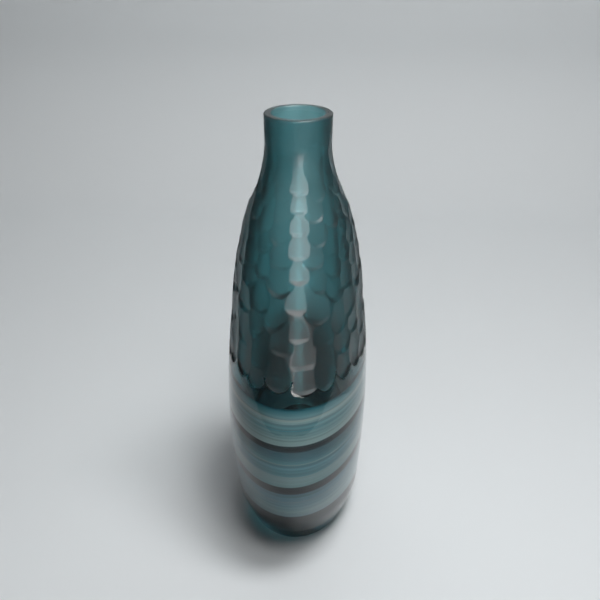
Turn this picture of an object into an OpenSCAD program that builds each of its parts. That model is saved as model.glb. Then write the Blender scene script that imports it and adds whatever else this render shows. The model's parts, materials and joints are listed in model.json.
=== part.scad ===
// Flask shaped vase of layered, hand blown glass: a narrow round neck on a broad flattened body.
// Upper body: teal overlay, cut by hand with rows of shallow scoops and left satin.
// Lower body: wound bands of milky and dark glass, sealed under a clear casing.
// Millimetres, +Z up, origin on the table under the middle of the foot.
// The narrow ends of the body face along Y and the broad faces along X.

/* [Body] */
// Height from the table to the ground rim
height = 400; // [330:1:480]
// Widest size of the body, along Y
body_w = 268; // [220:2:330]
// Thickest size of the body, along X
body_t = 131.5; // [108:0.5:160]
// Height of the widest place above the table
widest_z = 105; // [84:1:126]
// Height of the thickest place above the table
thickest_z = 148; // [125:1:180]
// Width of the body a little above the foot
heel_w = 204; // [170:1:236]
// Thickness of the body a little above the foot
heel_t = 118.5; // [100:0.5:128]
// Height of the heel above the table
heel_z = 40; // [32:1:48]
// Width of the ground foot, along Y
foot_w = 138; // [110:2:160]
// Thickness of the ground foot, along X
foot_t = 93; // [78:1:98]
// Power of the foot's oval: 2 is an ellipse, and less is more pointed
foot_power = 1.85; // [1.7:0.05:2]

/* [Shoulder] */
// Distance from the waist of the body up to the neck
waist_drop = 130; // [110:1:155]
// Width of the body at its waist
waist_w = 193; // [160:1:215]
// Thickness of the body at its waist
waist_t = 120.5; // [104:0.5:128]
// Distance from the shoulder up to the neck
shoulder_drop = 70; // [60:1:84]
// Width of the body at the shoulder
shoulder_w = 144; // [118:1:160]
// Thickness of the body at the shoulder
shoulder_t = 102.5; // [86:1:116]
// Distance from the throat up to the neck
throat_drop = 30; // [25:1:36]
// Width of the throat under the neck
throat_w = 90; // [76:1:104]
// Thickness of the throat under the neck
throat_t = 74; // [66:1:84]

/* [Neck] */
// Length of the round neck
neck_h = 30; // [25:1:36]
// Outer diameter at the bottom of the neck
neck_d = 61; // [56:0.5:70]
// Outer diameter at the rim
rim_d = 62; // [58:0.5:72]
// Diameter of the round bore through the neck
bore_d = 48; // [40:0.5:49]
// Bevel on both edges of the ground rim
rim_bevel = 0.8; // [0.4:0.1:1.2]
// Step where the bore meets the cavity under it
throat_step = 0.3; // [0.2:0.1:0.6]

/* [Glass layers] */
// Thickness of the clear casing
casing_t = 2; // [1.6:0.1:2.4]
// Thickness of the wound bands under the casing
band_t = 2.5; // [2:0.1:3]
// Thickness of the first bubble under the bands
bubble_t = 4; // [3.3:0.1:4.8]
// Height of the solid foot pad
foot_pad_h = 18; // [15:0.5:22]
// Thickness of the bubble's floor on the foot pad
floor_t = 6; // [5:0.5:8]
// Radius between the cavity's floor and its wall
floor_round = 14; // [10:1:18]
// Bevel round the edge of the ground foot
foot_bevel = 1; // [0.5:0.1:1.5]
// Radius of the ball shaped wheel that hollows the pontil mark
pontil_ball_r = 150; // [120:5:200]
// Depth of the hollow ground over the pontil mark
pontil_depth = 2; // [1:0.25:3]

/* [Bands] */
// Height of the smoky band on the foot pad
smoke_band_h = 32.5; // [28:0.5:42]
// Height of the lower opal band
opal_lower_h = 38; // [32:0.5:46]
// Height of the lower charcoal band
charcoal_lower_h = 8.5; // [6:0.5:11]
// Height of the middle opal band
opal_middle_h = 34.5; // [27:0.5:40]
// Height of the upper charcoal band
charcoal_upper_h = 5.5; // [4:0.5:8]
// Height of the upper opal band
opal_upper_h = 31; // [27:0.5:40]
// Height of a wound thread
thread_h = 1.6; // [1:0.2:2.4]
// Depth of a wound thread in the band that it is laid on
thread_t = 0.8; // [0.5:0.1:1.2]
// Distance from the top of an opal band down to its white thread
white_drop = 11; // [9:0.5:12]
// Distance from the top of an opal band down to its teal thread
teal_drop = 17; // [15:0.5:20]

/* [Hidden] */

// Straight sides of each oval, and the largest step between its levels
segments = 36;
level_step = 20;
round_steps = 3;
bore_fn = 96;
over = 1;

neck_z = height - neck_h;
bevel_z = height - rim_bevel;
band_depth = casing_t + band_t;
wall_t = band_depth + bubble_t;
bore_r = bore_d / 2;

// Each band stands on the one below it.
smoke_top = foot_pad_h + smoke_band_h;
opal_lower_top = smoke_top + opal_lower_h;
charcoal_lower_top = opal_lower_top + charcoal_lower_h;
opal_middle_top = charcoal_lower_top + opal_middle_h;
charcoal_upper_top = opal_middle_top + charcoal_upper_h;
bands_top = charcoal_upper_top + opal_upper_h;
opal_tops = [opal_lower_top, opal_middle_top, bands_top];
floor_z = foot_pad_h + floor_t;
floor_edge_z = floor_z + floor_round;

// Half thickness along X at each height: foot, heel, thickest place, waist, shoulder, throat, neck, rim
thickness_line = [
    [0, foot_t / 2],
    [heel_z, heel_t / 2],
    [thickest_z, body_t / 2],
    [neck_z - waist_drop, waist_t / 2],
    [neck_z - shoulder_drop, shoulder_t / 2],
    [neck_z - throat_drop, throat_t / 2],
    [neck_z, neck_d / 2],
    [height, rim_d / 2]
];

// Half width along Y at each height, through the same places
width_line = [
    [0, foot_w / 2],
    [heel_z, heel_w / 2],
    [widest_z, body_w / 2],
    [neck_z - waist_drop, waist_w / 2],
    [neck_z - shoulder_drop, shoulder_w / 2],
    [neck_z - throat_drop, throat_w / 2],
    [neck_z, neck_d / 2],
    [height, rim_d / 2]
];

// Smooth curve through the points of a line, with no overshoot between them

function secant(line, i) = (line[i + 1][1] - line[i][1]) / (line[i + 1][0] - line[i][0]);

function mean_slope(a, b) = a * b <= 0 ? 0 : 2 * a * b / (a + b);

function slope(line, i) =
    i == 0 ? secant(line, 0)
    : i == len(line) - 1 ? secant(line, i - 1)
    : mean_slope(secant(line, i - 1), secant(line, i));

function span_of(line, z, i = 0) =
    i < len(line) - 2 && z > line[i + 1][0] ? span_of(line, z, i + 1) : i;

function hermite(low, high, low_slope, high_slope, s) =
    low * (2 * s^3 - 3 * s^2 + 1) + high * (3 * s^2 - 2 * s^3)
    + low_slope * (s^3 - 2 * s^2 + s) + high_slope * (s^3 - s^2);

function curve_in(line, z, i, gap) =
    hermite(line[i][1], line[i + 1][1], gap * slope(line, i), gap * slope(line, i + 1), (z - line[i][0]) / gap);

function curve_at(line, z) =
    let (i = span_of(line, z)) curve_in(line, z, i, line[i + 1][0] - line[i][0]);

// One oval ring: height, half thickness, half width and the power of its oval

function power_at(z) = foot_power + (2 - foot_power) * min(z / widest_z, 1);

function ring(z, depth) =
    [z, curve_at(thickness_line, z) - depth, curve_at(width_line, z) - depth, power_at(z)];

function oval_point(r, turn) =
    let (c = cos(turn), s = sin(turn), reach = (abs(c)^r[3] + abs(s)^r[3])^(-1 / r[3]))
    [r[1] * reach * c, r[2] * reach * s, r[0]];

// Heights of the rings. Layers that touch share the rings of the surface between them.

function between(low, high) =
    let (steps = ceil((high - low) / level_step))
    [for (i = [0 : steps - 1]) low + (high - low) * i / steps];

function filled(keys) =
    [for (i = [0 : len(keys) - 2]) each between(keys[i], keys[i + 1]), keys[len(keys) - 1]];

function thread_edges(top) =
    [top - teal_drop - thread_h, top - teal_drop, top - white_drop - thread_h, top - white_drop];

wall_levels = filled([
    0, foot_bevel, foot_pad_h, smoke_top, opal_lower_top, charcoal_lower_top,
    opal_middle_top, charcoal_upper_top, bands_top, neck_z, bevel_z, height
]);

seal_levels = filled([
    0, foot_pad_h,
    smoke_top, each thread_edges(opal_lower_top), opal_lower_top,
    charcoal_lower_top, each thread_edges(opal_middle_top), opal_middle_top,
    charcoal_upper_top, each thread_edges(bands_top), bands_top
]);

function rings_up(levels, low, high, depth) =
    [for (z = levels) if (z >= low && z <= high) ring(z, depth)];

function reversed(list) = [for (i = [len(list) - 1 : -1 : 0]) list[i]];

// Solids through a list of rings

function ring_points(rings) =
    [for (r = rings, k = [0 : segments - 1]) oval_point(r, 360 * k / segments)];

function quad(low_a, low_b, high_a, high_b, rising) =
    rising
    ? [[low_a, high_b, low_b], [low_a, high_a, high_b]]
    : [[low_a, high_a, low_b], [low_b, high_a, high_b]];

function side_quad(rings, i, j, k) =
    let (next = (k + 1) % segments, a = i * segments, b = j * segments)
    quad(a + k, a + next, b + k, b + next, rings[j][0] >= rings[i][0]);

function side_faces(rings, last) =
    [for (i = [0 : last], k = [0 : segments - 1]) each side_quad(rings, i, (i + 1) % len(rings), k)];

function cap_face(i) = [for (k = [0 : segments - 1]) i * segments + k];

// A closed solid through rings that rise, with a flat bottom and a flat top
module solid_loft(rings) {
    top = len(rings) - 1;
    faces = concat(side_faces(rings, top - 1), [cap_face(0), reversed(cap_face(top))]);
    polyhedron(points = ring_points(rings), faces = faces, convexity = 4);
}

// A closed sleeve through rings that rise outside and come back down inside
module sleeve_loft(rings) {
    polyhedron(points = ring_points(rings), faces = side_faces(rings, len(rings) - 1), convexity = 6);
}

// A sleeve of even thickness between two heights
module sleeve(levels_out, depth_out, levels_in, depth_in, low, high) {
    outer = rings_up(levels_out, low, high, depth_out);
    inner = rings_up(levels_in, low, high, depth_in);
    sleeve_loft(concat(outer, reversed(inner)));
}

// A wound band under the casing
module wound_band(low, high) {
    sleeve(seal_levels, casing_t, wall_levels, band_depth, low, high);
}

// The outside of an opal band, with a groove under each of its two threads
function grooved_rings(low, top) =
    let (edges = thread_edges(top), bottom = casing_t + thread_t)
    concat(
        rings_up(seal_levels, low, edges[0], casing_t),
        [ring(edges[0], bottom), ring(edges[1], bottom)],
        rings_up(seal_levels, edges[1], edges[2], casing_t),
        [ring(edges[2], bottom), ring(edges[3], bottom)],
        rings_up(seal_levels, edges[3], top, casing_t)
    );

module opal_band(low, top) {
    inner = rings_up(wall_levels, low, top, band_depth);
    sleeve_loft(concat(grooved_rings(low, top), reversed(inner)));
}

module thread(low) {
    high = low + thread_h;
    bottom = casing_t + thread_t;
    sleeve_loft([ring(low, casing_t), ring(high, casing_t), ring(high, bottom), ring(low, bottom)]);
}

// The cavity is never narrower than the bore above it.
function cavity_ring(z, inset) =
    let (outer = ring(z, wall_t + inset), least = bore_r - throat_step)
    [z, max(outer[1], least), max(outer[2], least), outer[3]];

function floor_rings() =
    [for (i = [0 : round_steps - 1])
        let (turn = 90 * i / round_steps)
        cavity_ring(floor_z + floor_round * (1 - cos(turn)), floor_round * (1 - sin(turn)))];

function cavity_rings() =
    concat(
        floor_rings(),
        [cavity_ring(floor_edge_z, 0)],
        [for (z = wall_levels) if (z > floor_edge_z + over && z <= neck_z) cavity_ring(z, 0)],
        [cavity_ring(neck_z + over, 0)]
    );

// First gather: the bubble that holds the water, with the bored neck
module inner_bubble() {
    color("lightseagreen", 0.6)
    difference() {
        solid_loft(rings_up(wall_levels, foot_pad_h, height, band_depth));
        solid_loft(cavity_rings());
        translate([0, 0, neck_z])
            cylinder(r = bore_r, h = neck_h + over, $fn = bore_fn);
        translate([0, 0, bevel_z])
            cylinder(r1 = bore_r, r2 = bore_r + rim_bevel + over, h = rim_bevel + over, $fn = bore_fn);
    }
}

// Teal overlay of the upper body and neck, the layer that the scoops are cut into
module teal_overlay() {
    outer = rings_up(wall_levels, bands_top, bevel_z, 0);
    inner = rings_up(wall_levels, bands_top, height, band_depth);
    color("darkslategray", 0.85)
    sleeve_loft(concat(outer, [ring(height, rim_bevel)], reversed(inner)));
}

// Clear outer gather over the bands, fire polished
module clear_casing() {
    outer = rings_up(wall_levels, foot_bevel, bands_top, 0);
    inner = rings_up(seal_levels, 0, bands_top, casing_t);
    color("powderblue", 0.35)
    sleeve_loft(concat([ring(0, foot_bevel)], outer, reversed(inner)));
}

module opal_band_upper() {
    color("cadetblue")
    opal_band(charcoal_upper_top, bands_top);
}

module opal_band_middle() {
    color("cadetblue")
    opal_band(charcoal_lower_top, opal_middle_top);
}

module opal_band_lower() {
    color("cadetblue")
    opal_band(smoke_top, opal_lower_top);
}

module charcoal_band_upper() {
    color("darkslategray")
    wound_band(opal_middle_top, charcoal_upper_top);
}

module charcoal_band_lower() {
    color("darkslategray")
    wound_band(opal_lower_top, charcoal_lower_top);
}

module smoke_foot_band() {
    color("dimgray", 0.9)
    wound_band(foot_pad_h, smoke_top);
}

// One milky white thread wound round each opal band
module white_threads() {
    color("azure")
    for (top = opal_tops)
        thread(top - white_drop - thread_h);
}

// One teal thread wound round each opal band, under the white one
module teal_threads() {
    color("teal")
    for (top = opal_tops)
        thread(top - teal_drop - thread_h);
}

// Solid clear foot with the hollow ground over the pontil mark
module foot_pad() {
    color("lightblue", 0.5)
    difference() {
        solid_loft(rings_up(seal_levels, 0, foot_pad_h, casing_t));
        translate([0, 0, pontil_depth - pontil_ball_r])
            sphere(r = pontil_ball_r, $fn = bore_fn);
    }
}

inner_bubble();
teal_overlay();
clear_casing();
opal_band_upper();
opal_band_middle();
opal_band_lower();
charcoal_band_upper();
charcoal_band_lower();
smoke_foot_band();
white_threads();
teal_threads();
foot_pad();
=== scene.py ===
# %% [markdown]
# # A flask vase in carved and banded glass
#
# The vase is one fused wall of glass, built of separate gathers: a first bubble, a deep teal overlay on
# the upper body and neck, wound bands on the lower body, a clear casing over them, and a thick clear
# foot. A wheel has cut rows of scoops into the overlay and left it satin. Below the cuts the glass is as
# glossy as it left the fire.
#
# This lesson models each gather as its own closed piece, so that light bends, darkens and scatters in it
# as it does in the real wall. The CAD model is loaded first and gives the outline, the levels and the
# bore.

# %% Load the fixed CAD frame
import json
import math

import bpy
import numpy as np
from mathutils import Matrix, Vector


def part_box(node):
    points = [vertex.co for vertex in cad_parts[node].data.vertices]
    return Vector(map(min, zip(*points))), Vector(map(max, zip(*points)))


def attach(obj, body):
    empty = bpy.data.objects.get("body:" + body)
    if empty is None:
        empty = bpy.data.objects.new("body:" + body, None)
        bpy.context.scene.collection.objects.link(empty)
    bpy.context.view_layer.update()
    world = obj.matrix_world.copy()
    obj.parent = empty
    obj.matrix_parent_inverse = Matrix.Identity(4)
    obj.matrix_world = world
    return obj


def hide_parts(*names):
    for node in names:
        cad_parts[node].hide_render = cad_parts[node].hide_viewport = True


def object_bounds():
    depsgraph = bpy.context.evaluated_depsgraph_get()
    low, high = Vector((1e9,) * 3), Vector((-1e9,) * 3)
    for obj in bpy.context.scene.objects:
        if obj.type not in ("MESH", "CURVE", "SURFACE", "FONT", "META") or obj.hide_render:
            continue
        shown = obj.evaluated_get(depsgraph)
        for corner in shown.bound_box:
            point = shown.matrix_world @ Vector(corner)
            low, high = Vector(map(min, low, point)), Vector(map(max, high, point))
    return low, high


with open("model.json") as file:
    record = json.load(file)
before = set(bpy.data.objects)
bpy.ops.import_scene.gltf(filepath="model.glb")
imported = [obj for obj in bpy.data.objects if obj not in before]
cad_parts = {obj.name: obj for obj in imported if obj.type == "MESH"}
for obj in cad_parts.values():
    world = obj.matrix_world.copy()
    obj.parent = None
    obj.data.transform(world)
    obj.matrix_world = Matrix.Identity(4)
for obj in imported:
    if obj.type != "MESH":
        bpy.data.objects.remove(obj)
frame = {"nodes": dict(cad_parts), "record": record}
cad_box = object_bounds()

MM = 0.001
cad_low, cad_high = cad_box
print("CAD box in mm:", [round(v / MM, 1) for v in cad_high - cad_low])

# %% [markdown]
# ## Camera
#
# The view looks at a narrow end of the body from above. A camera about a metre away with a longish lens
# gives the mild perspective that makes the shoulder look wide and the foot narrow.

# %% Set the camera
CAMERA_DISTANCE = 0.992
CAMERA_HEIGHT = 0.655
CAMERA_AZIMUTH = 3.94
LOOK_DOWN = 23.69
LOOK_ASIDE = -0.06
ROLL = -0.09

scene = bpy.context.scene
camera_data = bpy.data.cameras.new("camera")
camera_data.lens = 69
camera_data.sensor_width = 36
camera = bpy.data.objects.new("camera", camera_data)
scene.collection.objects.link(camera)
scene.camera = camera
azimuth = math.radians(CAMERA_AZIMUTH)
camera.location = (CAMERA_DISTANCE * math.sin(azimuth), -CAMERA_DISTANCE * math.cos(azimuth), CAMERA_HEIGHT)
camera.rotation_euler = (
    math.radians(90 - LOOK_DOWN), math.radians(ROLL), math.radians(CAMERA_AZIMUTH + LOOK_ASIDE))
print("Camera at", [round(v, 3) for v in camera.location])

# %% [markdown]
# ## The outline, read from the CAD layers
#
# Every layer follows one outline: an oval whose half thickness and half width change with height. The CAD
# casing and overlay are made of level rings, so the outline is read from the rings of their outward
# faces, and a smooth curve is laid through them. The foot's oval is slightly pointed, so its power is a
# little less than the 2 of an ellipse. The curve stays within the widest ring, so no piece is wider than
# the CAD model.

# %% Read the rings of the CAD layers
FOOT_POWER = 1.85
FOOT_BEVEL = 1.0 * MM
RIM_BEVEL = 0.8 * MM
RIM_ROUND = 1.8 * MM
LEVEL_TOLERANCE = 0.01 * MM
RUN_BEFORE, RUN_PAST = -0.5, 1.2
TURN_STEPS = 1441


def outer_rings(node, low, high):
    """Height, half thickness and half width of each level ring on a CAD node's outward faces."""
    mesh = frame["nodes"][node].data
    co = np.array([v.co for v in mesh.vertices])
    outward = set()
    for face in mesh.polygons:
        if face.normal.x * face.center.x + face.normal.y * face.center.y > 0:
            outward.update(face.vertices)
    co = co[sorted(outward)]
    levels = np.unique(np.round(co[:, 2] / LEVEL_TOLERANCE)) * LEVEL_TOLERANCE
    rows = []
    for z in levels[(levels > low) & (levels < high)]:
        ring = co[np.abs(co[:, 2] - z) < LEVEL_TOLERANCE]
        rows.append((z, ring[:, 0].max(), ring[:, 1].max()))
    return rows


bands_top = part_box("clear_casing")[1].z
rim_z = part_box("teal_overlay")[1].z
outline = np.array(
    outer_rings("clear_casing", FOOT_BEVEL / 2, bands_top - MM)
    + outer_rings("teal_overlay", bands_top - MM, rim_z - RIM_BEVEL / 2))
outline_slope = np.gradient(outline[:, 1:], outline[:, 0], axis=0)
widest_z = outline[np.argmax(outline[:, 2]), 0]
print(len(outline), "rings from", round(outline[0, 0] / MM, 1), "to", round(outline[-1, 0] / MM, 1), "mm")
print(np.round(outline / MM, 1).tolist())


def half_sizes(z):
    """Half thickness and half width at heights z, on a smooth curve that stays within the widest ring."""
    z = np.atleast_1d(np.asarray(z, float))
    i = np.clip(np.searchsorted(outline[:, 0], z) - 1, 0, len(outline) - 2)
    gap = outline[i + 1, 0] - outline[i, 0]
    s = np.clip((z - outline[i, 0]) / gap, RUN_BEFORE, RUN_PAST)[:, None]
    low, high = outline[i, 1:], outline[i + 1, 1:]
    low_slope, high_slope = outline_slope[i] * gap[:, None], outline_slope[i + 1] * gap[:, None]
    curve = (low * (2 * s**3 - 3 * s**2 + 1) + high * (3 * s**2 - 2 * s**3)
             + low_slope * (s**3 - 2 * s**2 + s) + high_slope * (s**3 - s**2))
    return np.minimum(curve, outline[:, 1:].max(axis=0))


def oval_ring(z, depth, count):
    """Points at equal spacing round one ring, from the near narrow end towards +X, and the ring's length."""
    a, b = half_sizes(z)[0] - depth
    power = FOOT_POWER + (2 - FOOT_POWER) * min(max(z / widest_z, 0), 1)
    turn = np.linspace(-math.pi / 2, 1.5 * math.pi, TURN_STEPS)
    x = a * np.sign(np.cos(turn)) * np.abs(np.cos(turn)) ** (2 / power)
    y = b * np.sign(np.sin(turn)) * np.abs(np.sin(turn)) ** (2 / power)
    run = np.concatenate([[0], np.cumsum(np.hypot(np.diff(x), np.diff(y)))])
    at = np.linspace(0, run[-1], count, endpoint=False)
    return np.column_stack([np.interp(at, run, x), np.interp(at, run, y), np.full(count, z)]), run[-1]


def circle_ring(z, radius, count):
    """Points at equal spacing round one level circle, from the near narrow end towards +X."""
    turn = -math.pi / 2 + 2 * math.pi * np.arange(count) / count
    return np.column_stack([radius * np.cos(turn), radius * np.sin(turn), np.full(count, z)])

# %% [markdown]
# ## From rings to a closed body of glass
#
# A gather of glass is a thin closed body. Each one is lofted along its profile: up the outside, over the
# top, and down the inside, so that every face looks out of the glass. The faces where two gathers have
# fused are marked, because light crosses them without bending.
#
# A circle could be extruded ring by ring and scaled by hand. These ovals change their power with height,
# though, and neighbouring layers lie less than a tenth of a millimetre apart, so each ring's points are
# worked out instead.

# %% Loft rings into a closed piece
FREE, FUSED = 0, 1
SHARP_ANGLE = 40


def loft(name, rings, zones, closed):
    """A closed piece through rings of equal count, each strip between two rings either free or fused."""
    count = len(rings[0])
    verts = np.concatenate(rings)
    k = np.arange(count)
    after = (k + 1) % count
    faces, zone_of = [], []
    strips = len(rings) if closed else len(rings) - 1
    for i in range(strips):
        low, high = i * count, ((i + 1) % len(rings)) * count
        faces += np.column_stack([low + k, low + after, high + after, high + k]).tolist()
        zone_of += [zones[i]] * count
    if not closed:
        for ring, zone, flip in ((0, zones[0], True), (len(rings) - 1, zones[-1], False)):
            centre = len(verts)
            verts = np.vstack([verts, rings[ring].mean(axis=0)])
            tri = np.column_stack([ring * count + k, ring * count + after, np.full(count, centre)])
            faces += (tri[:, ::-1] if flip else tri).tolist()
            zone_of += [zone] * count
    mesh = bpy.data.meshes.new(name)
    mesh.from_pydata(verts.tolist(), [], faces)
    free = mesh.attributes.new("free_face", "FLOAT", "FACE")
    free.data.foreach_set("value", [1.0 if zone == FREE else 0.0 for zone in zone_of])
    mesh.polygons.foreach_set("use_smooth", [True] * len(faces))
    mesh.update()
    piece = bpy.data.objects.new(name, mesh)
    scene.collection.objects.link(piece)
    return piece


def finish_piece(piece, nodes, materials):
    """Sharp edges, materials and the links to the CAD frame."""
    for material in materials:
        piece.data.materials.append(material)
    bpy.ops.object.select_all(action="DESELECT")
    piece.select_set(True)
    bpy.context.view_layer.objects.active = piece
    bpy.ops.object.shade_smooth_by_angle(angle=math.radians(SHARP_ANGLE))
    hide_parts(*nodes)
    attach(piece, "root")
    print(piece.name, len(piece.data.polygons), "faces")


print("Edges sharper than", SHARP_ANGLE, "degrees stay sharp")

# %% [markdown]
# ## Glass and its colours
#
# Glass has no colour on its surface: it takes light away along the path inside it. So each clear or
# coloured gather has a glass surface and an absorbing volume. Absorption is given as how much of each
# colour is taken per metre. The ground satin is the one exception, with a faint tint on its surface.
#
# Light that casts a shadow goes straight through each face at a fixed share, in place of bending. Bent
# light would be truer, but it would need very many samples to come out clean.

# %% Material helpers
LIGHT_PASSED = 0.85
SATIN_LIGHT_PASSED = 0.8


def srgb(code):
    """Linear colour from a hex code."""
    parts = [int(code[i:i + 2], 16) / 255 for i in (1, 3, 5)]
    return [p / 12.92 if p <= 0.04045 else ((p + 0.055) / 1.055) ** 2.4 for p in parts] + [1]


def add_node(tree, kind, inputs=None, **settings):
    """Add a node, set its inputs to values or to other nodes' outputs, and set its properties."""
    made = tree.nodes.new(kind)
    for key, value in settings.items():
        setattr(made, key, value)
    for key, value in (inputs or {}).items():
        if isinstance(value, bpy.types.NodeSocket):
            tree.links.new(value, made.inputs[key])
        else:
            made.inputs[key].default_value = value
    return made


def new_material(name):
    """An empty node material and its tree."""
    material = bpy.data.materials.new(name)
    material.use_nodes = True
    material.node_tree.nodes.clear()
    return material, material.node_tree


def absorption(tree, per_metre):
    """Volume that takes away so much red, green and blue light per metre."""
    density = max(per_metre)
    colour = [1 - value / density for value in per_metre] + [1]
    return add_node(tree, "ShaderNodeVolumeAbsorption", {"Color": colour, "Density": density}).outputs[0]


def glass_output(tree, glass, per_metre, passed=LIGHT_PASSED):
    """Glass as the eye sees it, but open to shadow rays, so that light reaches what is inside."""
    path = add_node(tree, "ShaderNodeLightPath")
    clear = add_node(tree, "ShaderNodeBsdfTransparent", {"Color": (passed, passed, passed, 1)})
    surface = add_node(tree, "ShaderNodeMixShader", {
        0: path.outputs["Is Shadow Ray"], 1: glass.outputs[0], 2: clear.outputs[0]})
    add_node(tree, "ShaderNodeOutputMaterial", {
        "Surface": surface.outputs[0], "Volume": absorption(tree, per_metre)})


def free_share(tree):
    """1 where a gather's face is free, and 0 where it has fused to its neighbour and is no surface."""
    return add_node(tree, "ShaderNodeAttribute", attribute_name="free_face").outputs["Fac"]


print("Share of light that a face passes to its shadow:", LIGHT_PASSED, "glossy,", SATIN_LIGHT_PASSED, "satin")

# %% [markdown]
# Fire-polished glass has never been touched since it was molten. Its surface is glossy, with a slow
# ripple that makes reflections waver. Its IOR is the usual 1.5 of soda glass.

# %% Fire-polished glass
GLASS_IOR = 1.5
GLOSSY = 0.02
RIPPLE_SCALE = 28.0  # per metre, so a ripple is about 36 mm long


def fire_polished_glass(name, per_metre, ripple=0.0, roughness=GLOSSY):
    """Glossy glass as it leaves the fire, with a slow ripple of some micrometres."""
    material, tree = new_material(name)
    place = add_node(tree, "ShaderNodeTexCoord").outputs["Object"]
    wave = add_node(tree, "ShaderNodeTexNoise", {"Vector": place, "Scale": RIPPLE_SCALE, "Detail": 1.0})
    bump = add_node(tree, "ShaderNodeBump", {"Height": wave.outputs[0], "Distance": ripple, "Strength": 1.0})
    glass = add_node(tree, "ShaderNodeBsdfPrincipled", {
        "Base Color": (1, 1, 1, 1), "Roughness": roughness, "IOR": GLASS_IOR, "Transmission Weight": 1.0,
        "Alpha": free_share(tree), "Normal": bump.outputs[0]})
    glass_output(tree, glass, per_metre)
    return material


CLEAR = (6, 3, 3)
FOOT_BLUE = (30, 19, 17)
polished_clear = fire_polished_glass("fire_polished_clear_glass", CLEAR, ripple=0.0003)
ground_foot = fire_polished_glass("ground_clear_blue_glass", FOOT_BLUE, roughness=0.4)
print(polished_clear.name, "and", ground_foot.name)

# %% [markdown]
# A wheel leaves a fine even grain, which scatters light into a satin sheen. The mesh stores how deep each
# point is cut, and the satin sets in over the first fraction of a millimetre of cut. A little of the
# light comes back from the ground surface itself instead of passing through it. The real grain is finer
# than the one drawn here.

# %% Wheel-cut satin glass
TEAL = (265, 136, 125)
PALE_TEAL = (95, 48, 44)
SATIN = 0.41
SATIN_TINT = (0.9, 1, 1, 1)
GRAIN_SCALE = 1400.0  # per metre, so a grain is about 0.7 mm across
GRAIN_HEIGHT = 0.00002
CUT_START = 0.05 * MM
CUT_FULL = 0.22 * MM


def satin_cut_glass(name, per_metre):
    """Wheel-cut satin glass where the cuts are, and fire-polished glass where they aren't."""
    material, tree = new_material(name)
    cut = add_node(tree, "ShaderNodeAttribute", attribute_name="cut_depth").outputs["Fac"]
    satin = add_node(tree, "ShaderNodeMapRange", {
        "Value": cut, "From Min": CUT_START, "From Max": CUT_FULL, "To Min": 0.0, "To Max": 1.0})
    place = add_node(tree, "ShaderNodeTexCoord").outputs["Object"]
    grain = add_node(tree, "ShaderNodeTexNoise", {"Vector": place, "Scale": GRAIN_SCALE, "Detail": 2.0})
    bump = add_node(tree, "ShaderNodeBump", {
        "Height": grain.outputs[0], "Distance": GRAIN_HEIGHT, "Strength": satin.outputs[0]})
    roughness = add_node(tree, "ShaderNodeMapRange", {
        "Value": satin.outputs[0], "To Min": GLOSSY, "To Max": SATIN})
    glass = add_node(tree, "ShaderNodeBsdfPrincipled", {
        "Base Color": SATIN_TINT, "Roughness": roughness.outputs[0], "IOR": GLASS_IOR,
        "Transmission Weight": 0.985, "Alpha": free_share(tree), "Normal": bump.outputs[0]})
    glass_output(tree, glass, per_metre, SATIN_LIGHT_PASSED)
    return material


satin_teal = satin_cut_glass("satin_teal_glass", TEAL)
pale_teal = satin_cut_glass("fire_polished_pale_teal_glass", PALE_TEAL)
print(satin_teal.name, "and", pale_teal.name)

# %% [markdown]
# ## The wheel-cut scoops
#
# The cutter holds the vase to a wet stone wheel and works round it in rows, from the bottom up. Each
# touch leaves a shallow scoop: it comes in gently at the top and goes out quickly at the bottom, where
# the next row's scoop starts, so the scoops overlap like shingles. Where two meet, the deeper one wins
# and a ridge stands between them.

# %% Place the scoops
rng = np.random.default_rng(11)
LOW_WIDTH, HIGH_WIDTH = 24.0 * MM, 19.0 * MM
SCOOP_DEPTH = 1.9 * MM
ROW_EDGES = [v * MM for v in (179.5, 201, 223, 247, 271, 290, 308, 324, 338)]
ACROSS = 0.0118 / MM
EXIT = 0.16 / MM
EXIT_REACH = 3.2 * MM
ENTRY = 0.03
LEAN_SPREAD = 0.02
FIRST_LEAN = (0.0, 0.0, 0.05)
ENTRY_CURVE = 0.0013 / MM
BOW = 0.035 / MM
FLUTES = 10
FLUTE_DEPTH = 0.3 * MM
FLUTE_ACROSS = 0.0045 / MM
FLUTE_FADE = 0.004 / MM
NECK_BOTTOM = 0.362
FIRST_COLUMN = 3.9
LOW_FRONT_SHIFT = 0.27
FIRST_ROW_RISE = 4.3 * MM
RAGGED_LOW, RAGGED_HIGH = -1.0, 4.0
ROW_SCATTER = 0.18
SIDE_SCATTER = 0.16
DEPTH_SPREAD = (0.85, 1.12)
WIDTH_SPREAD = (0.85, 1.2)
TILT_SPREAD = 0.03
BOW_SPREAD = (0.3, 1.3)
FRONT_BOW = 0.25


def perimeter(z):
    """Length of the outline's ring at one height."""
    return oval_ring(z, 0, 8)[1]


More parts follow.
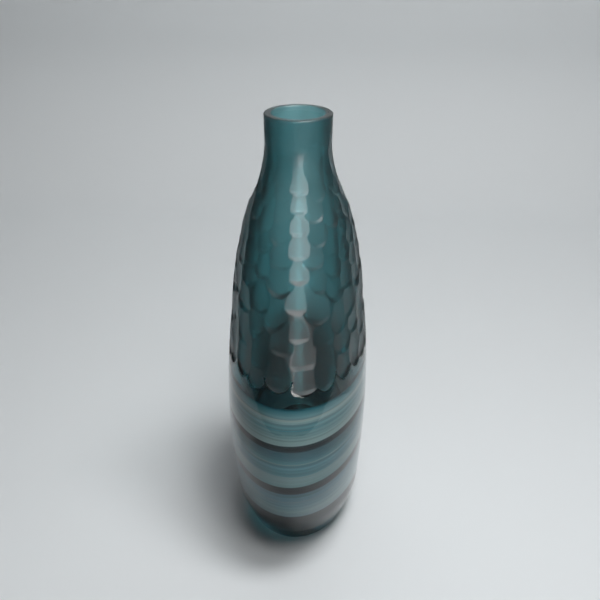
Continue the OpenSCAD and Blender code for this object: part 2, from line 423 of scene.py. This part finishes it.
def make_scoops():
    """One row of values for each scoop: the height where it is deepest, its share of the way round, its
    depth, its width factor, its sideways tilt, the bow of its edge and its forward lean.

    In the front column, where near is 0, the place, tilt and lean are given, not drawn at random. Its depth,
    width and bow are still drawn at random."""
    rows = []
    for i, edge in enumerate(ROW_EDGES):
        pitch = ROW_EDGES[min(i + 1, len(ROW_EDGES) - 1)] - ROW_EDGES[min(i, len(ROW_EDGES) - 2)]
        width = np.interp(edge, [ROW_EDGES[0], ROW_EDGES[4]], [LOW_WIDTH, HIGH_WIDTH])
        count = 2 * round(perimeter(edge) / width / 2)
        first = half_sizes(edge)[0, 1] * math.tan(math.radians(FIRST_COLUMN)) / perimeter(edge)
        first += LOW_FRONT_SHIFT / count if i < 2 else 0
        for j in range(count):
            near = min(j, count - j)
            if i == 0:
                deepest = edge + FIRST_ROW_RISE + (rng.uniform(RAGGED_LOW, RAGGED_HIGH) * MM if near else 0)
            else:
                stagger = 0.5 * pitch * (near % 2)
                scatter = rng.uniform(-ROW_SCATTER, ROW_SCATTER) * pitch if near else 0
                deepest = edge + EXIT_REACH + stagger + scatter
            shift = rng.uniform(-SIDE_SCATTER, SIDE_SCATTER) if near else 0.0
            depth = SCOOP_DEPTH * rng.uniform(*DEPTH_SPREAD)
            width_factor = rng.uniform(*WIDTH_SPREAD)
            tilt = rng.normal(0, TILT_SPREAD) if near else 0.0
            bow = BOW * rng.uniform(*BOW_SPREAD) * (1 if near else FRONT_BOW)
            lean = rng.normal(0, LEAN_SPREAD) if near else FIRST_LEAN[min(i, 2)]
            rows.append((deepest, first + (j + shift) / count, depth, width_factor, tilt, bow, lean))
    return np.array(rows)


scoops = make_scoops()
print(len(scoops), "scoops")

# %% [markdown]
# A scoop is a shallow dish: how deep it cuts falls away to its sides and above and below its deepest
# place. At each point round the outline the two deepest cuts are worked out, since a ridge stands where
# they are equal.

# %% Measure the cut at any point
AROUND = 416
LEVELS = 172
OVERLAY_T = 4.5 * MM
FUSED_GAP = 0.03 * MM

levels = np.linspace(bands_top, rim_z - RIM_ROUND, LEVELS)
lengths = np.array([perimeter(z) for z in levels])
print(LEVELS, "levels of", AROUND, "points")


def two_deepest(share, z):
    """Deepest and second deepest cut at points given by their share of the ring and their height."""
    best = np.full(share.shape, -1.0)
    second = np.full(share.shape, -1.0)
    length = np.interp(z, levels, lengths)
    for deepest, at, depth, width, tilt, bow, lean in scoops:
        across = ((share - at + 0.5) % 1 - 0.5) * length
        up = z - deepest - bow * across**2
        fall = np.where(up < 0, EXIT * up**2, (ENTRY + lean) * up + ENTRY_CURVE * up**2)
        cut = depth - ACROSS / width * across**2 - fall + tilt * across
        second = np.maximum(second, np.minimum(best, cut))
        best = np.maximum(best, cut)
    for j in range(FLUTES):
        across = ((share - (j + 0.5) / FLUTES + 0.5) % 1 - 0.5) * length
        cut = FLUTE_DEPTH - FLUTE_ACROSS * across**2 - FLUTE_FADE * np.clip(NECK_BOTTOM - z, 0, None) ** 2
        second = np.maximum(second, np.minimum(best, cut))
        best = np.maximum(best, cut)
    return best, second


# %% [markdown]
# The overlay is a fine grid of points round the outline. Points close to a ridge are moved onto it, so
# the ridges stay crisp without a finer grid. Which way the ridge lies comes from the slope of the
# difference between the two cuts.

# %% Move points onto the ridges
SLOPE_STEP = 0.1 * MM


def snapped(share, z):
    """Moves grid points that are near a ridge onto it."""
    step = SLOPE_STEP
    length = np.interp(z, levels, lengths)
    best, second = two_deepest(share, z)
    f = np.clip(best, 0, None) - np.clip(second, 0, None)
    best_a, second_a = two_deepest(share + step / length, z)
    best_z, second_z = two_deepest(share, z + step)
    fa = (np.clip(best_a, 0, None) - np.clip(second_a, 0, None) - f) / step
    fz = (np.clip(best_z, 0, None) - np.clip(second_z, 0, None) - f) / step
    size = fa**2 + fz**2 + 1e-12
    move_a, move_z = -f * fa / size, -f * fz / size
    reach = 0.5 * (levels[1] - levels[0])
    near = np.hypot(move_a, move_z) < reach
    inside = (z > levels[0] + 1e-6) & (z < levels[-1] - 1e-6)
    use = near & inside & (best > 0)
    return share + np.where(use, move_a / length, 0), z + np.where(use, move_z, 0)


share_grid, z_grid = np.meshgrid(np.arange(AROUND) / AROUND, levels)
share_grid, z_grid = snapped(share_grid, z_grid)
cut, _ = two_deepest(share_grid, z_grid)
cut_in = np.clip(cut, 0, None)
print("Points that are cut:", int((cut > 0).sum()), "of", cut.size)

# %% [markdown]
# Each point is then pushed in along the surface's own normal, by the depth of its cut.

# %% Carve the outline
FINE = 1600
SHARE_STEP = 0.0005
LEVEL_STEP = 0.4 * MM
ring_table = np.array([oval_ring(z, 0, FINE)[0][:, :2] for z in levels])


def surface_points(share, z):
    """Points of the uncut outline at shares and heights, by interpolation in a fine table."""
    row = (z - levels[0]) / (levels[1] - levels[0])
    i = np.clip(np.floor(row).astype(int), 0, LEVELS - 2)
    s = (row - i)[..., None]
    col = (share % 1) * FINE
    j = np.floor(col).astype(int) % FINE
    t = (col - np.floor(col))[..., None]
    j2 = (j + 1) % FINE
    low = ring_table[i, j] * (1 - t) + ring_table[i, j2] * t
    high = ring_table[i + 1, j] * (1 - t) + ring_table[i + 1, j2] * t
    return np.concatenate([low * (1 - s) + high * s, z[..., None]], axis=-1)


base = surface_points(share_grid, z_grid)
ahead = surface_points(share_grid + SHARE_STEP, z_grid)
above = surface_points(share_grid, np.minimum(z_grid + LEVEL_STEP, levels[-1]))
below = surface_points(share_grid, np.maximum(z_grid - LEVEL_STEP, levels[0]))
normal = np.cross(ahead - base, above - below)
normal /= np.linalg.norm(normal, axis=-1, keepdims=True)
carved = base - normal * cut_in[..., None]
print("Deepest cut", round(cut_in.max() / MM, 2), "mm; mean", round(cut_in.mean() / MM, 2), "mm")

# %% [markdown]
# The carved outside is closed over a rounded rim and down the inside, where the overlay has fused to the
# bubble. The rim was ground, so it is satin like the scoops, and so is the overlay everywhere above its
# lowest row of scoops.

# %% Close the overlay
RIM_STEPS = 4
INNER_LEVELS = 30
FULLY_CUT = 1 * MM
ALL_SATIN_FROM = 14 * MM
inner_levels = np.linspace(rim_z - RIM_BEVEL, bands_top, INNER_LEVELS)
rings = [carved[i] for i in range(LEVELS)]
for turn in np.linspace(0, math.pi / 2, RIM_STEPS + 1)[1:]:
    z = rim_z - RIM_ROUND * (1 - math.sin(turn))
    rings.append(oval_ring(z, RIM_ROUND * (1 - math.cos(turn)), AROUND)[0])
rings.append(oval_ring(rim_z, OVERLAY_T - FUSED_GAP, AROUND)[0])
rings += [oval_ring(z, OVERLAY_T - FUSED_GAP, AROUND)[0] for z in inner_levels]
free_strips = LEVELS + RIM_STEPS
zones = [FREE] * free_strips + [FUSED] * (len(rings) - free_strips)
overlay = loft("carved_teal_overlay", rings, zones, closed=True)
depth_value = np.zeros(len(overlay.data.vertices))
depth_value[:cut.size] = np.where(z_grid.ravel() > ROW_EDGES[0] + ALL_SATIN_FROM, FULLY_CUT, cut.ravel())
depth_value[cut.size:cut.size + (RIM_STEPS + 1) * AROUND] = FULLY_CUT
attribute = overlay.data.attributes.new("cut_depth", "FLOAT", "POINT")
attribute.data.foreach_set("value", depth_value)
finish_piece(overlay, ["teal_overlay"], [satin_teal])

# %% [markdown]
# ## The first bubble
#
# The bubble is the glass that was blown first. Its inside is the vase's cavity, fire-polished, with a
# drilled round bore in the neck.

# %% Make the bubble
ROUND = 192
WALL_T = 8.5 * MM
bore_r = frame["record"]["mounts"][1]["dims"]["r_mm"] * MM
foot_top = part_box("inner_bubble")[0].z
FLOOR_T = 6 * MM
cavity_floor = foot_top + FLOOR_T
FLOOR_ROUND = 14 * MM
NECK_Z = 0.370
WALL_LEVELS = 70
THROAT_STEP = 0.1 * MM
rings = [circle_ring(foot_top, 2 * MM, ROUND), oval_ring(foot_top, OVERLAY_T + FUSED_GAP, ROUND)[0]]
outer_levels = np.linspace(foot_top + 4 * MM, rim_z, WALL_LEVELS)
rings += [oval_ring(z, OVERLAY_T + FUSED_GAP, ROUND)[0] for z in outer_levels]
zones = [FUSED] * (len(rings) - 1)
rings += [circle_ring(rim_z, bore_r + RIM_BEVEL, ROUND), circle_ring(rim_z - RIM_BEVEL, bore_r, ROUND)]
rings += [circle_ring(z, bore_r, ROUND) for z in np.linspace(rim_z - 5 * MM, NECK_Z, 6)]
for z in np.linspace(NECK_Z - 1 * MM, cavity_floor + FLOOR_ROUND, WALL_LEVELS):
    full = half_sizes(z)[0]
    ring, _ = oval_ring(z, 0, ROUND)
    ring[:, :2] *= np.maximum(full - WALL_T, bore_r - THROAT_STEP) / full
    rings.append(ring)
for turn in np.linspace(0, math.pi / 2, 9)[1:]:
    z = cavity_floor + FLOOR_ROUND * (1 - math.sin(turn))
    rings.append(oval_ring(z, WALL_T + FLOOR_ROUND * (1 - math.cos(turn)), ROUND)[0])
rings.append(circle_ring(cavity_floor, 3 * MM, ROUND))
zones += [FREE] * (len(rings) - 1 - len(zones))
bubble = loft("blown_bubble", rings, zones, closed=False)
heights = np.array([v.co.z for v in bubble.data.vertices])
attribute = bubble.data.attributes.new("cut_depth", "FLOAT", "POINT")
attribute.data.foreach_set("value", np.where(heights > rim_z - 1.1 * RIM_BEVEL, FULLY_CUT, 0.0))
finish_piece(bubble, ["inner_bubble"], [pale_teal])

# %% [markdown]
# ## The wound bands
#
# The bands are milky glass, so nearly all their light comes back from just under the surface. They are
# fused between the bubble and the casing, and have no gloss of their own: the gloss is the casing's.

# %% Band materials
MILK = 0.7
MILK_DEPTH = 0.003  # metres, 3 mm
WAVE = 0.0035  # metres, 3.5 mm
WAVE_SCALE = 9.0  # per metre, so a wave is about 110 mm long
LINE_SCALE = 430.0  # per metre, so a line is about 2.3 mm high
LINE_SWING = 0.3
NOISE_LOW, NOISE_HIGH = 0.3, 0.7
MATT = 0.6


def streaked_glass(name, colours, low, high):
    """Milky glass wound in streaks: colours at shares of the band's height, with fine lines over them."""
    material, tree = new_material(name)
    place = add_node(tree, "ShaderNodeTexCoord").outputs["Object"]
    warp = add_node(tree, "ShaderNodeTexNoise", {
        "Vector": place, "Scale": WAVE_SCALE, "Detail": 1.0}).outputs[0]
    z = add_node(tree, "ShaderNodeSeparateXYZ", {0: place}).outputs["Z"]
    waved = add_node(tree, "ShaderNodeMath", {0: warp, 1: WAVE, 2: z}, operation="MULTIPLY_ADD").outputs[0]
    share = add_node(tree, "ShaderNodeMapRange", {
        "Value": waved, "From Min": low + WAVE / 2, "From Max": high + WAVE / 2}).outputs[0]
    ramp = add_node(tree, "ShaderNodeValToRGB", {0: share})
    stops = ramp.color_ramp.elements
    while len(stops) < len(colours):
        stops.new(0.5)
    for stop, (at, colour) in zip(stops, colours):
        stop.position = at
        stop.color = srgb(colour)
    flat = add_node(tree, "ShaderNodeCombineXYZ", {"Z": waved}).outputs[0]
    lines = add_node(tree, "ShaderNodeTexNoise", {
        "Vector": flat, "Scale": LINE_SCALE, "Detail": 4.0}).outputs[0]
    gain = add_node(tree, "ShaderNodeMapRange", {
        "Value": lines, "From Min": NOISE_LOW, "From Max": NOISE_HIGH,
        "To Min": 1 - LINE_SWING, "To Max": 1 + LINE_SWING}).outputs[0]
    shaded = add_node(tree, "ShaderNodeVectorMath", {0: ramp.outputs[0], "Scale": gain}, operation="SCALE")
    glass = add_node(tree, "ShaderNodeBsdfPrincipled", {
        "Base Color": shaded.outputs[0], "Roughness": MATT, "Specular IOR Level": 0.0,
        "Subsurface Weight": MILK, "Subsurface Radius": (1.0, 1.0, 1.0), "Subsurface Scale": MILK_DEPTH})
    add_node(tree, "ShaderNodeOutputMaterial", {"Surface": glass.outputs[0]})
    return material


def band_span(node):
    """Bottom and top level of a CAD band."""
    low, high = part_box(node)
    return low.z, high.z


print("Streaks waver by", WAVE / MM, "mm")

# %% [markdown]
# The six bands are stacked from the foot up. Each has its own row of colours, from its bottom to its top.

# %% Wind the bands
CASING_T = 2.0 * MM
BAND_STEP = 3 * MM


def make_band(name, node, material):
    """One band between its two levels, in the space between the bubble and the casing."""
    low, high = band_span(node)
    heights = np.linspace(low, high, max(3, int((high - low) / BAND_STEP) + 1))
    rings = [oval_ring(z, CASING_T + 2 * FUSED_GAP, ROUND)[0] for z in heights]
    rings += [oval_ring(z, OVERLAY_T - FUSED_GAP, ROUND)[0] for z in heights[::-1]]
    piece = loft(name, rings, [FREE] * len(rings), closed=True)
    finish_piece(piece, [node], [material])


BANDS = {
    "opal_band_upper": ("opal_glass", [
        (0.0, "#718686"), (0.12, "#6d8383"), (0.3, "#577377"), (0.55, "#537277"), (0.68, "#718585"),
        (0.72, "#7f8c8a"), (0.76, "#607b7f"), (0.93, "#4a737b"), (1.0, "#305b65")]),
    "charcoal_band_upper": ("charcoal_glass", [(0.0, "#182429"), (0.5, "#0e171b"), (1.0, "#1a292f")]),
    "opal_band_middle": ("opal_glass", [
        (0.0, "#58777c"), (0.1, "#6a8384"), (0.3, "#6d8486"), (0.34, "#466a73"), (0.5, "#4b7079"),
        (0.72, "#41666e"), (0.8, "#34575f"), (1.0, "#2b4951")]),
    "charcoal_band_lower": ("charcoal_glass", [(0.0, "#1d242a"), (0.5, "#13181d"), (1.0, "#20262b")]),
    "opal_band_lower": ("opal_glass", [
        (0.0, "#6b8b90"), (0.2, "#749195"), (0.5, "#5d828b"), (0.8, "#436e7a"), (1.0, "#3a616d")]),
    "smoke_foot_band": ("smoke_glass", [(0.0, "#1f262a"), (0.4, "#25292d"), (1.0, "#2d3034")]),
}
for node, (slot_name, colours) in BANDS.items():
    material = streaked_glass("wound_" + node + "_glass", colours, *band_span(node))
    make_band("wound_" + node, node, material)

# %% [markdown]
# The white and teal threads are single canes laid round the opal bands before the casing went over them.

# %% Wind the threads
THREAD_T = 0.8 * MM
THREAD_APART = 5 * MM
EDGE_SHARE = 0.25
CLOUD_SCALE = 45.0  # per metre, so a cloud is about 22 mm across


def thread_spans(node):
    """Low and high level of each thread in a CAD node. Levels that are close belong to one thread."""
    z = np.unique(np.round([v.co.z for v in frame["nodes"][node].data.vertices], 5))
    return [(group[0], group[-1]) for group in np.split(z, np.where(np.diff(z) > THREAD_APART)[0] + 1)]


def make_threads(name, node, material):
    """One piece of all the threads in a CAD node, each with softened outer edges."""
    parts = []
    for low, high in thread_spans(node):
        edge = EDGE_SHARE * (high - low)
        outer, inner = CASING_T + FUSED_GAP, CASING_T + THREAD_T
        rings = [oval_ring(z, depth, ROUND)[0] for z, depth in (
            (low, inner), (low, outer + edge), (low + edge, outer),
            (high - edge, outer), (high, outer + edge), (high, inner))]
        parts.append(loft(name, rings, [FREE] * len(rings), closed=True))
    bpy.ops.object.select_all(action="DESELECT")
    for part in parts:
        part.select_set(True)
    bpy.context.view_layer.objects.active = parts[0]
    bpy.ops.object.join()
    parts[0].name = name
    finish_piece(parts[0], [node], [material])


for name, node, slot_name, colour in (
        ("wound_white_threads", "white_threads", "white_thread_glass", "#63797c"),
        ("wound_teal_threads", "teal_threads", "teal_thread_glass", "#436b73")):
    material, tree = new_material(name + "_glass")
    place = add_node(tree, "ShaderNodeTexCoord").outputs["Object"]
    cloud = add_node(tree, "ShaderNodeTexNoise", {
        "Vector": place, "Scale": CLOUD_SCALE, "Detail": 2.0}).outputs[0]
    gain = add_node(tree, "ShaderNodeMapRange", {
        "Value": cloud, "From Min": NOISE_LOW, "From Max": NOISE_HIGH,
        "To Min": 0.8, "To Max": 1.15}).outputs[0]
    shaded = add_node(tree, "ShaderNodeVectorMath", {0: srgb(colour)[:3], "Scale": gain}, operation="SCALE")
    glass = add_node(tree, "ShaderNodeBsdfPrincipled", {
        "Base Color": shaded.outputs[0], "Roughness": MATT, "Specular IOR Level": 0.0})
    add_node(tree, "ShaderNodeOutputMaterial", {"Surface": glass.outputs[0]})
    make_threads(name, node, material)

# %% [markdown]
# ## Clear casing and foot
#
# The last gather of clear glass seals the bands in, and its fire-polished outside is what gives them
# their gloss. It runs from the overlay's lower edge down to the ground foot.

# %% Make the casing
heights = np.concatenate([[FOOT_BEVEL], np.linspace(4 * MM, bands_top, WALL_LEVELS)])
rings = [oval_ring(0, FOOT_BEVEL, ROUND)[0]] + [oval_ring(z, 0, ROUND)[0] for z in heights]
zones = [FREE] * len(heights)
rings += [oval_ring(z, CASING_T - FUSED_GAP, ROUND)[0] for z in heights[::-1]]
rings.append(oval_ring(0, CASING_T - FUSED_GAP, ROUND)[0])
zones += [FUSED] * (len(rings) - 1 - len(zones)) + [FREE]
casing = loft("clear_casing_gather", rings, zones, closed=True)
finish_piece(casing, ["clear_casing"], [polished_clear])

# %% [markdown]
# The foot is thick clear glass. Its underside was ground flat, and a shallow round hollow was ground
# where the pontil rod had held it.

# %% Make the foot pad
PONTIL_R = 150 * MM
PONTIL_DEPTH = 2 * MM
HOLLOW_RINGS = 8
hollow_r = math.sqrt(PONTIL_R**2 - (PONTIL_R - PONTIL_DEPTH) ** 2)
rings = []
for r in np.linspace(1 * MM, hollow_r, HOLLOW_RINGS):
    rings.append(circle_ring(math.sqrt(PONTIL_R**2 - r**2) - (PONTIL_R - PONTIL_DEPTH), r, ROUND))
rings += [oval_ring(z, CASING_T + FUSED_GAP, ROUND)[0] for z in np.linspace(0, foot_top - FUSED_GAP, 6)]
rings.append(circle_ring(foot_top - FUSED_GAP, 2 * MM, ROUND))
zones = [FREE] * HOLLOW_RINGS + [FUSED] * (len(rings) - HOLLOW_RINGS - 1)
foot = loft("clear_foot_pad", rings, zones, closed=False)
finish_piece(foot, ["foot_pad"], [ground_foot])

# %% [markdown]
# ## Floor, backdrop and light
#
# The vase stands on a sheet of pale paper that curves up behind it, so that the camera sees no edge
# behind the glass.

# %% Floor and sweep
FRONT_EDGE = -3.2
CURVE_START = 0.85
CURVE_RADIUS = 0.25
WALL_TOP = 2.6
HALF_SPAN = 0.85
profile = [(FRONT_EDGE, 0.0), (CURVE_START, 0.0)]
profile += [(CURVE_START + CURVE_RADIUS * math.sin(t), CURVE_RADIUS * (1 - math.cos(t)))
            for t in np.linspace(0, math.pi / 2, 25)[1:]]
profile.append((CURVE_START + CURVE_RADIUS, WALL_TOP))
verts = [(side, y, z) for y, z in profile for side in (-HALF_SPAN, HALF_SPAN)]
faces = [(2 * i, 2 * i + 1, 2 * i + 3, 2 * i + 2) for i in range(len(profile) - 1)]
mesh = bpy.data.meshes.new("paper_sweep")
mesh.from_pydata(verts, [], faces)
mesh.polygons.foreach_set("use_smooth", [True] * len(faces))
sweep = bpy.data.objects.new("paper_sweep", mesh)
scene.collection.objects.link(sweep)
material, tree = new_material("pale_paper")
paper = add_node(tree, "ShaderNodeBsdfPrincipled", {"Base Color": srgb("#e0e4e6"), "Roughness": 0.7})
add_node(tree, "ShaderNodeOutputMaterial", {"Surface": paper.outputs[0]})
mesh.materials.append(material)
print("Paper sweep", 2 * HALF_SPAN, "m wide")

# %% [markdown]
# Two soft boxes light the vase from above, and two more light the backdrop. A tall panel in front makes
# the long highlight down the glass. Its diffuse light is switched off, which a real lamp's can't be, so
# it shows in the gloss but doesn't light the paper or the milky bands. Glass needs many bounces, because
# light crosses several surfaces in each wall.

# %% Lights and render depth


def softbox(name, place, target, width, height, radiance):
    """Area light of a given brightness per square metre, turned to its target."""
    data = bpy.data.lights.new(name, "AREA")
    data.shape = "RECTANGLE"
    data.size, data.size_y = width, height
    data.energy = radiance * math.pi * width * height
    data.color = (1, 1, 1)
    lamp = bpy.data.objects.new(name, data)
    lamp.location = place
    lamp.rotation_euler = (Vector(target) - Vector(place)).to_track_quat("-Z", "Y").to_euler()
    scene.collection.objects.link(lamp)
    return lamp


softbox("overhead_softbox", (0.3, -0.2, 1.3), (0.05, -0.15, 0), 0.4, 0.4, 18.5)
softbox("near_softbox", (0.22, -0.75, 1.35), (0.1, -0.4, 0), 0.4, 0.4, 14.0)
softbox("backdrop_wash", (0.0, 0.6, 1.65), (0.0, 1.1, 1.35), 1.6, 0.25, 7.5)
softbox("backdrop_spot", (0.6, 0.75, 0.95), (0.55, 1.1, 0.3), 0.5, 0.2, 0.5)
strip = softbox("front_strip", (0.65, -1.77, 1.2), (0, -0.1, 0.95), 0.9, 1.35, 9.0)
strip.visible_diffuse = False

world = bpy.data.worlds.new("studio")
scene.world = world
world.use_nodes = True
world.node_tree.nodes["Background"].inputs["Color"].default_value = srgb("#c8ccd0")
world.node_tree.nodes["Background"].inputs["Strength"].default_value = 0.02

scene.view_settings.view_transform = "Standard"
scene.cycles.max_bounces = 24
scene.cycles.transmission_bounces = 24
scene.cycles.transparent_max_bounces = 32
